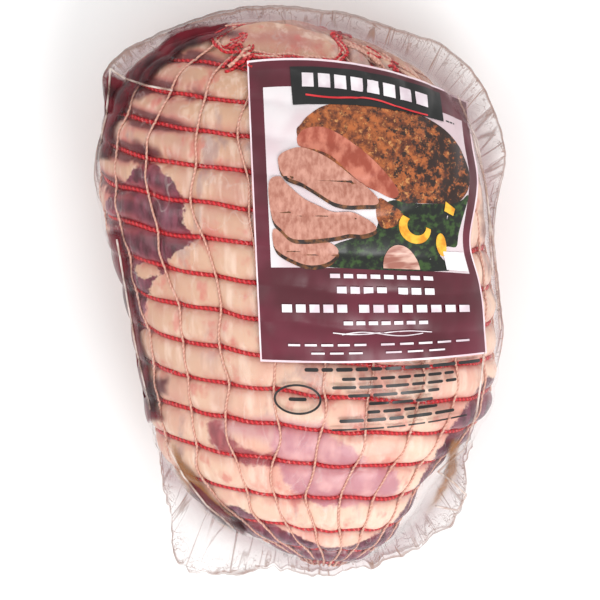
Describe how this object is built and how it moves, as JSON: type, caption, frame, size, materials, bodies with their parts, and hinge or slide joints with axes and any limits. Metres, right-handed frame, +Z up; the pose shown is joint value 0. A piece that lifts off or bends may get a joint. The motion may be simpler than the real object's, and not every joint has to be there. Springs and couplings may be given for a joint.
{
  "type": "vacuum packed raw boneless leg of lamb",
  "caption": "Raw boneless leg of lamb held in red and cream elastic netting, sealed in a clear printed film bag and lying on its back.",
  "frame": {"origin": "centre of the pack's footprint, at the level of the flat spot that it rests on", "axes": "+Y along the leg towards its broad end, where the net opens; +Z up out of the shown side; +X to the right seen from above"},
  "size_m": [0.1841, 0.2622, 0.0947],
  "materials": {
    "bagged_lamb": "pale fat and red meat under clear glossy film",
    "lamb": "moist raw fat and dark red muscle",
    "ring_elastic": "red twisted elastic",
    "string_elastic": "cream elastic string",
    "clear_film": "clear glossy wrinkled film",
    "meat_juice": "dark red meat juice",
    "bag_print": "printed ink on clear film"
  },
  "bodies": {
    "root": {"sealed_bag": "bagged_lamb"}
  },
  "joints": []
}
